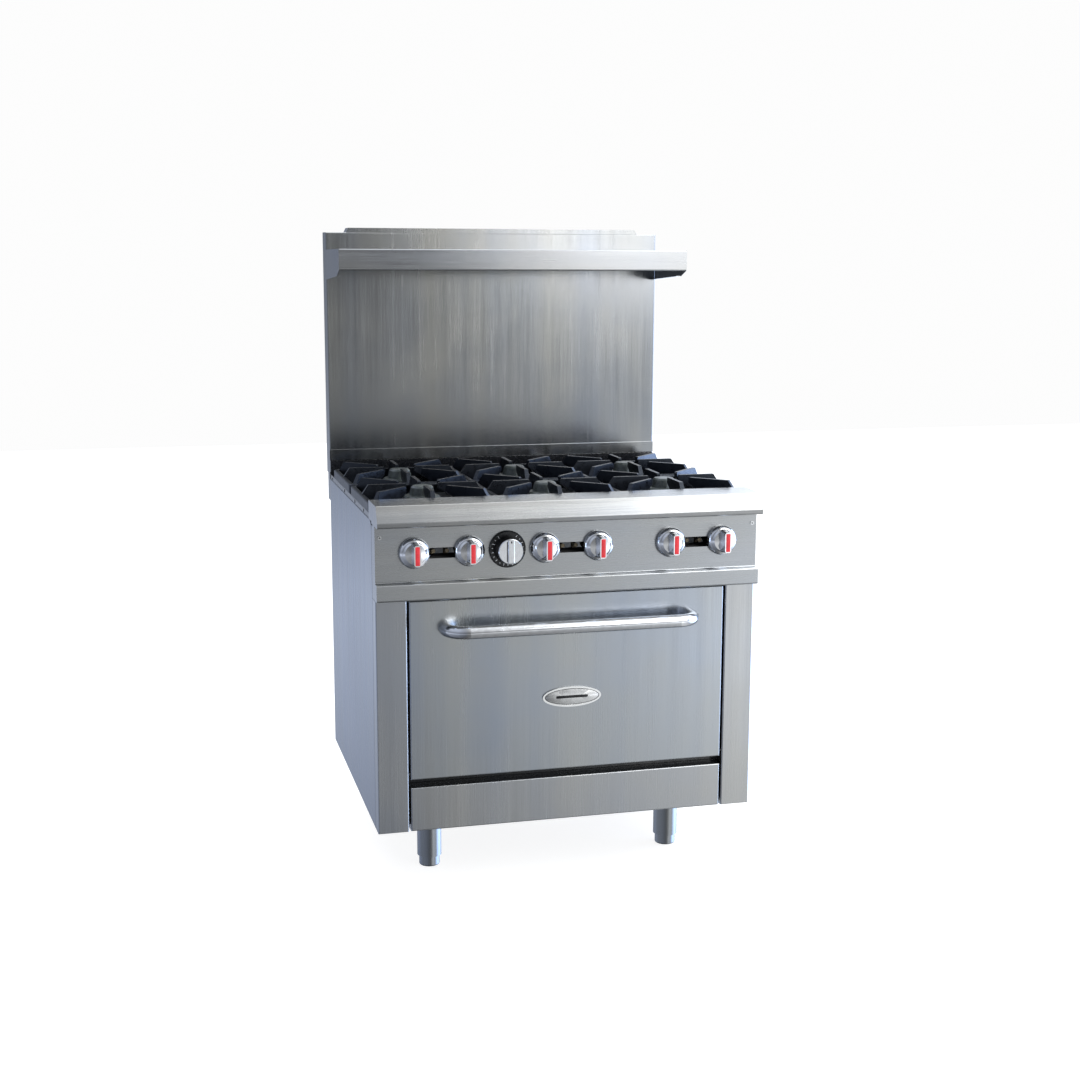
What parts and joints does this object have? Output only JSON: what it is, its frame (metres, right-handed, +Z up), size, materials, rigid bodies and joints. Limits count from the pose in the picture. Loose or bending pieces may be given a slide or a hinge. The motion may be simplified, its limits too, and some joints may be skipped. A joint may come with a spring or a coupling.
{
  "type": "commercial gas range",
  "caption": "Free-standing commercial gas range: open burners with cast iron grates over an oven with a drop-down door, knobs, landing ledge, backguard, high shelf and legs.",
  "frame": {"origin": "on the floor under the middle of the overall box", "axes": "+X to the right seen from the front, +Y to the back, +Z up"},
  "size_m": [0.9144, 0.9, 1.546],
  "materials": {
    "side_steel": "brushed stainless sheet, slightly blue",
    "front_steel": "vertically brushed stainless sheet",
    "panel_steel": "horizontally brushed stainless sheet",
    "ledge_steel": "horizontally brushed stainless sheet",
    "door_steel": "vertically brushed stainless sheet with soft streaks",
    "backguard_steel": "brushed stainless sheet, mottled",
    "shelf_steel": "horizontally brushed stainless sheet",
    "leg_steel": "turned and polished stainless",
    "black_enamel": "semi-gloss black enamel",
    "cast_iron": "black enamelled cast iron, semi-gloss",
    "burner_iron": "raw grey cast iron",
    "aluminised_steel": "dull aluminised sheet",
    "oven_enamel": "dark speckled porcelain enamel",
    "knob_chrome": "bright chrome plate",
    "thermostat_chrome": "satin chrome plate",
    "bezel_black": "black, with plain dial marks",
    "handle_steel": "polished stainless tube",
    "rack_chrome": "nickel chrome wire",
    "brass": "turned brass",
    "valve_aluminium": "die cast aluminium",
    "black_pipe": "black pipe",
    "burner_steel": "plain aluminised tube",
    "mineral_wool": "mineral wool batt",
    "woven_gasket": "woven glass fibre",
    "hinge_steel": "plain steel",
    "badge_metal": "blank oval plate, satin centre and bright rim",
    "screw_steel": "stainless pan head"
  },
  "bodies": {
    "root": {"backguard_panel": "backguard_steel", "base_frame": "black_enamel", "burner_heads": "burner_iron", "burner_tubes": "burner_iron", "burner_valves": "brass", "casing_screws": "screw_steel", "control_panel": "panel_steel", "door_gasket": "woven_gasket", "door_hinge_pins": "hinge_steel", "drip_tray": "aluminised_steel", "flue_duct": "aluminised_steel", "flue_riser": "backguard_steel", "front_ledge": "ledge_steel", "front_stile_left": "front_steel", "front_stile_right": "front_steel", "gas_manifold": "black_pipe", "grate_supports": "aluminised_steel", "high_shelf": "shelf_steel", "kick_panel": "front_steel", "leg_tubes": "leg_steel", "oven_burner": "burner_steel", "oven_deck": "oven_enamel", "oven_front_frame": "black_enamel", "oven_insulation": "mineral_wool", "oven_liner": "oven_enamel", "oven_safety_valve": "valve_aluminium", "pilot_valves": "brass", "rack_guides": "rack_chrome", "rear_panel": "aluminised_steel", "shelf_brackets": "shelf_steel", "side_panel_left": "side_steel", "side_panel_right": "side_steel", "thermostat_bezel": "bezel_black", "thermostat_body": "valve_aluminium", "top_frame": "black_enamel"},
    "oven_door": {"door_outer_panel": "door_steel", "door_inner_panel": "oven_enamel", "door_insulation": "mineral_wool", "door_handle": "handle_steel", "door_badge": "badge_metal", "door_hinge_blocks": "hinge_steel"},
    "burner_knob_1_body": {"burner_knob_1": "knob_chrome"},
    "burner_knob_2_body": {"burner_knob_2": "knob_chrome"},
    "burner_knob_3_body": {"burner_knob_3": "knob_chrome"},
    "burner_knob_4_body": {"burner_knob_4": "knob_chrome"},
    "burner_knob_5_body": {"burner_knob_5": "knob_chrome"},
    "burner_knob_6_body": {"burner_knob_6": "knob_chrome"},
    "thermostat_knob_body": {"thermostat_knob": "thermostat_chrome"},
    "foot_front_left_body": {"foot_front_left": "leg_steel"},
    "foot_front_right_body": {"foot_front_right": "leg_steel"},
    "foot_rear_left_body": {"foot_rear_left": "leg_steel"},
    "foot_rear_right_body": {"foot_rear_right": "leg_steel"},
    "grate_front_left_body": {"grate_front_left": "cast_iron"},
    "grate_front_middle_body": {"grate_front_middle": "cast_iron"},
    "grate_front_right_body": {"grate_front_right": "cast_iron"},
    "grate_rear_left_body": {"grate_rear_left": "cast_iron"},
    "grate_rear_middle_body": {"grate_rear_middle": "cast_iron"},
    "grate_rear_right_body": {"grate_rear_right": "cast_iron"},
    "oven_rack_lower_body": {"oven_rack_lower": "rack_chrome"},
    "oven_rack_upper_body": {"oven_rack_upper": "rack_chrome"}
  },
  "joints": [
    {"name": "oven_door_hinge", "type": "hinge", "parent": "root", "child": "oven_door", "pos_m": [0, -0.359, 0.284], "axis": [1, 0, 0], "range_deg": [0, 90], "stiffness_Nm_per_rad": 8, "springref_deg": -34.38},
    {"name": "burner_knob_1_turn", "type": "hinge", "parent": "root", "child": "burner_knob_1_body", "pos_m": [-0.3683, -0.4, 0.812], "axis": [0, -1, 0], "range_deg": [0, 90]},
    {"name": "burner_knob_2_turn", "type": "hinge", "parent": "root", "child": "burner_knob_2_body", "pos_m": [-0.2413, -0.4, 0.812], "axis": [0, -1, 0], "range_deg": [0, 90]},
    {"name": "burner_knob_3_turn", "type": "hinge", "parent": "root", "child": "burner_knob_3_body", "pos_m": [-0.0635, -0.4, 0.812], "axis": [0, -1, 0], "range_deg": [0, 90]},
    {"name": "burner_knob_4_turn", "type": "hinge", "parent": "root", "child": "burner_knob_4_body", "pos_m": [0.0635, -0.4, 0.812], "axis": [0, -1, 0], "range_deg": [0, 90]},
    {"name": "burner_knob_5_turn", "type": "hinge", "parent": "root", "child": "burner_knob_5_body", "pos_m": [0.2413, -0.4, 0.812], "axis": [0, -1, 0], "range_deg": [0, 90]},
    {"name": "burner_knob_6_turn", "type": "hinge", "parent": "root", "child": "burner_knob_6_body", "pos_m": [0.3683, -0.4, 0.812], "axis": [0, -1, 0], "range_deg": [0, 90]},
    {"name": "thermostat_knob_turn", "type": "hinge", "parent": "root", "child": "thermostat_knob_body", "pos_m": [-0.1524, -0.4, 0.812], "axis": [0, -1, 0], "range_deg": [0, 270]},
    {"name": "grate_front_left_lift", "type": "slide", "parent": "root", "child": "grate_front_left_body", "axis": [0, 0, 1], "range_m": [0, 0.2]},
    {"name": "grate_front_middle_lift", "type": "slide", "parent": "root", "child": "grate_front_middle_body", "axis": [0, 0, 1], "range_m": [0, 0.2]},
    {"name": "grate_front_right_lift", "type": "slide", "parent": "root", "child": "grate_front_right_body", "axis": [0, 0, 1], "range_m": [0, 0.2]},
    {"name": "grate_rear_left_lift", "type": "slide", "parent": "root", "child": "grate_rear_left_body", "axis": [0, 0, 1], "range_m": [0, 0.2]},
    {"name": "grate_rear_middle_lift", "type": "slide", "parent": "root", "child": "grate_rear_middle_body", "axis": [0, 0, 1], "range_m": [0, 0.2]},
    {"name": "grate_rear_right_lift", "type": "slide", "parent": "root", "child": "grate_rear_right_body", "axis": [0, 0, 1], "range_m": [0, 0.2]},
    {"name": "oven_rack_lower_slide", "type": "slide", "parent": "root", "child": "oven_rack_lower_body", "axis": [0, -1, 0], "range_m": [0, 0.04]},
    {"name": "oven_rack_upper_slide", "type": "slide", "parent": "root", "child": "oven_rack_upper_body", "axis": [0, -1, 0], "range_m": [0, 0.04]},
    {"name": "foot_front_left_screw", "type": "slide", "parent": "root", "child": "foot_front_left_body", "axis": [0, 0, -1], "range_m": [0, 0.03]},
    {"name": "foot_front_right_screw", "type": "slide", "parent": "root", "child": "foot_front_right_body", "axis": [0, 0, -1], "range_m": [0, 0.03]},
    {"name": "foot_rear_left_screw", "type": "slide", "parent": "root", "child": "foot_rear_left_body", "axis": [0, 0, -1], "range_m": [0, 0.03]},
    {"name": "foot_rear_right_screw", "type": "slide", "parent": "root", "child": "foot_rear_right_body", "axis": [0, 0, -1], "range_m": [0, 0.03]}
  ]
}
